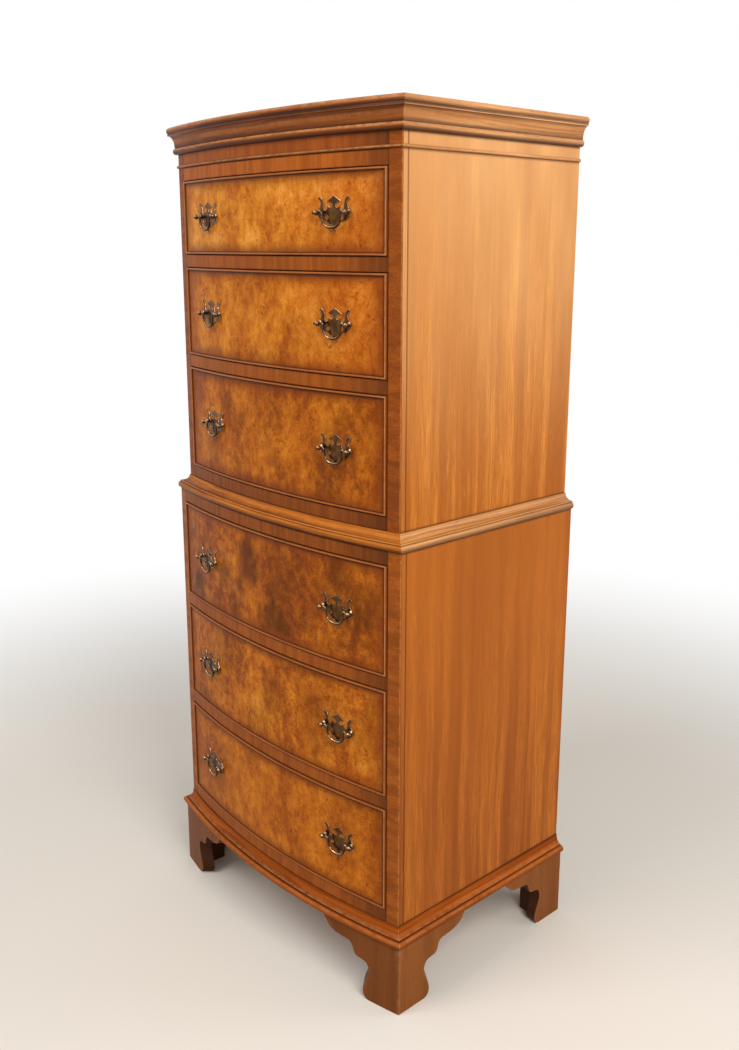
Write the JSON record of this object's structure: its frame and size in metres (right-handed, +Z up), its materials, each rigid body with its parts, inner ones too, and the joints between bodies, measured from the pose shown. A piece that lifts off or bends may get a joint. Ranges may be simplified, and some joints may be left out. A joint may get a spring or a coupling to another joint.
{
  "type": "chest on chest",
  "caption": "Bow-fronted walnut chest on chest with burr veneered drawers, crossbanded rails, moulded cornice, waist and base, bracket feet and brass swan-neck handles.",
  "frame": {"origin": "on the floor, under the middle of the bounding box", "axes": "+Z up, -Y out of the drawer fronts, +X to the right as seen from the front"},
  "size_m": [0.614, 0.449, 1.384],
  "materials": {
    "burr_walnut": "burr walnut veneer, polished",
    "crossbanded_walnut": "crossbanded walnut veneer, polished",
    "side_walnut": "straight-grained walnut veneer, polished",
    "moulding_walnut": "solid walnut, polished and worn at the edges",
    "lining_wood": "plain sawn lining wood, waxed",
    "back_panel_wood": "thin plywood, bare",
    "aged_brass": "cast brass with a dark bronzed patina"
  },
  "bodies": {
    "lower_chest": {"lower_side_left": "side_walnut", "lower_side_right": "side_walnut", "lower_back_panel": "back_panel_wood", "lower_bottom_board": "crossbanded_walnut", "lower_divider_low": "crossbanded_walnut", "lower_divider_high": "crossbanded_walnut", "lower_top_rail": "crossbanded_walnut", "waist_moulding": "moulding_walnut", "base_moulding": "moulding_walnut", "foot_front_left": "moulding_walnut", "foot_front_right": "moulding_walnut", "foot_rear_left": "moulding_walnut", "foot_rear_right": "moulding_walnut"},
    "upper_chest": {"upper_side_left": "side_walnut", "upper_side_right": "side_walnut", "upper_back_panel": "back_panel_wood", "upper_bottom_board": "crossbanded_walnut", "upper_divider_low": "crossbanded_walnut", "upper_divider_high": "crossbanded_walnut", "upper_top_rail": "crossbanded_walnut", "frieze_board": "crossbanded_walnut", "top_board": "side_walnut", "cornice": "moulding_walnut", "astragal": "moulding_walnut"},
    "drawer_1": {"drawer_1_front": "burr_walnut", "drawer_1_box": "lining_wood", "drawer_1_plate_left": "aged_brass", "drawer_1_plate_right": "aged_brass"},
    "drawer_1_bail_left": {"drawer_1_bail_left": "aged_brass"},
    "drawer_1_bail_right": {"drawer_1_bail_right": "aged_brass"},
    "drawer_2": {"drawer_2_front": "burr_walnut", "drawer_2_box": "lining_wood", "drawer_2_plate_left": "aged_brass", "drawer_2_plate_right": "aged_brass"},
    "drawer_2_bail_left": {"drawer_2_bail_left": "aged_brass"},
    "drawer_2_bail_right": {"drawer_2_bail_right": "aged_brass"},
    "drawer_3": {"drawer_3_front": "burr_walnut", "drawer_3_box": "lining_wood", "drawer_3_plate_left": "aged_brass", "drawer_3_plate_right": "aged_brass"},
    "drawer_3_bail_left": {"drawer_3_bail_left": "aged_brass"},
    "drawer_3_bail_right": {"drawer_3_bail_right": "aged_brass"},
    "drawer_4": {"drawer_4_front": "burr_walnut", "drawer_4_box": "lining_wood", "drawer_4_plate_left": "aged_brass", "drawer_4_plate_right": "aged_brass"},
    "drawer_4_bail_left": {"drawer_4_bail_left": "aged_brass"},
    "drawer_4_bail_right": {"drawer_4_bail_right": "aged_brass"},
    "drawer_5": {"drawer_5_front": "burr_walnut", "drawer_5_box": "lining_wood", "drawer_5_plate_left": "aged_brass", "drawer_5_plate_right": "aged_brass"},
    "drawer_5_bail_left": {"drawer_5_bail_left": "aged_brass"},
    "drawer_5_bail_right": {"drawer_5_bail_right": "aged_brass"},
    "drawer_6": {"drawer_6_front": "burr_walnut", "drawer_6_box": "lining_wood", "drawer_6_plate_left": "aged_brass", "drawer_6_plate_right": "aged_brass"},
    "drawer_6_bail_left": {"drawer_6_bail_left": "aged_brass"},
    "drawer_6_bail_right": {"drawer_6_bail_right": "aged_brass"}
  },
  "joints": [
    {"name": "upper_chest_lift", "type": "slide", "parent": "lower_chest", "child": "upper_chest", "axis": [0, 0, 1], "range_m": [0, 0.06]},
    {"name": "drawer_1_slide", "type": "slide", "parent": "upper_chest", "child": "drawer_1", "axis": [0, -1, 0], "range_m": [0, 0.3]},
    {"name": "drawer_1_bail_left_swing", "type": "hinge", "parent": "drawer_1", "child": "drawer_1_bail_left", "pos_m": [-0.1591, -0.19124, 1.23525], "axis": [-0.9921, 0.1254, 0], "range_deg": [-10, 165]},
    {"name": "drawer_1_bail_right_swing", "type": "hinge", "parent": "drawer_1", "child": "drawer_1_bail_right", "pos_m": [0.1591, -0.19124, 1.23525], "axis": [-0.9921, -0.1254, 0], "range_deg": [-10, 165]},
    {"name": "drawer_2_slide", "type": "slide", "parent": "upper_chest", "child": "drawer_2", "axis": [0, -1, 0], "range_m": [0, 0.3]},
    {"name": "drawer_2_bail_left_swing", "type": "hinge", "parent": "drawer_2", "child": "drawer_2_bail_left", "pos_m": [-0.1591, -0.19124, 1.079], "axis": [-0.9921, 0.1254, 0], "range_deg": [-10, 165]},
    {"name": "drawer_2_bail_right_swing", "type": "hinge", "parent": "drawer_2", "child": "drawer_2_bail_right", "pos_m": [0.1591, -0.19124, 1.079], "axis": [-0.9921, -0.1254, 0], "range_deg": [-10, 165]},
    {"name": "drawer_3_slide", "type": "slide", "parent": "upper_chest", "child": "drawer_3", "axis": [0, -1, 0], "range_m": [0, 0.3]},
    {"name": "drawer_3_bail_left_swing", "type": "hinge", "parent": "drawer_3", "child": "drawer_3_bail_left", "pos_m": [-0.1591, -0.19124, 0.89425], "axis": [-0.9921, 0.1254, 0], "range_deg": [-10, 165]},
    {"name": "drawer_3_bail_right_swing", "type": "hinge", "parent": "drawer_3", "child": "drawer_3_bail_right", "pos_m": [0.1591, -0.19124, 0.89425], "axis": [-0.9921, -0.1254, 0], "range_deg": [-10, 165]},
    {"name": "drawer_4_slide", "type": "slide", "parent": "lower_chest", "child": "drawer_4", "axis": [0, -1, 0], "range_m": [0, 0.3]},
    {"name": "drawer_4_bail_left_swing", "type": "hinge", "parent": "drawer_4", "child": "drawer_4_bail_left", "pos_m": [-0.1752, -0.20425, 0.65025], "axis": [-0.9906, 0.1365, 0], "range_deg": [-10, 165]},
    {"name": "drawer_4_bail_right_swing", "type": "hinge", "parent": "drawer_4", "child": "drawer_4_bail_right", "pos_m": [0.1752, -0.20425, 0.65025], "axis": [-0.9906, -0.1365, 0], "range_deg": [-10, 165]},
    {"name": "drawer_5_slide", "type": "slide", "parent": "lower_chest", "child": "drawer_5", "axis": [0, -1, 0], "range_m": [0, 0.3]},
    {"name": "drawer_5_bail_left_swing", "type": "hinge", "parent": "drawer_5", "child": "drawer_5_bail_left", "pos_m": [-0.1752, -0.20425, 0.45425], "axis": [-0.9906, 0.1365, 0], "range_deg": [-10, 165]},
    {"name": "drawer_5_bail_right_swing", "type": "hinge", "parent": "drawer_5", "child": "drawer_5_bail_right", "pos_m": [0.1752, -0.20425, 0.45425], "axis": [-0.9906, -0.1365, 0], "range_deg": [-10, 165]},
    {"name": "drawer_6_slide", "type": "slide", "parent": "lower_chest", "child": "drawer_6", "axis": [0, -1, 0], "range_m": [0, 0.3]},
    {"name": "drawer_6_bail_left_swing", "type": "hinge", "parent": "drawer_6", "child": "drawer_6_bail_left", "pos_m": [-0.1752, -0.20425, 0.25825], "axis": [-0.9906, 0.1365, 0], "range_deg": [-10, 165]},
    {"name": "drawer_6_bail_right_swing", "type": "hinge", "parent": "drawer_6", "child": "drawer_6_bail_right", "pos_m": [0.1752, -0.20425, 0.25825], "axis": [-0.9906, -0.1365, 0], "range_deg": [-10, 165]}
  ]
}
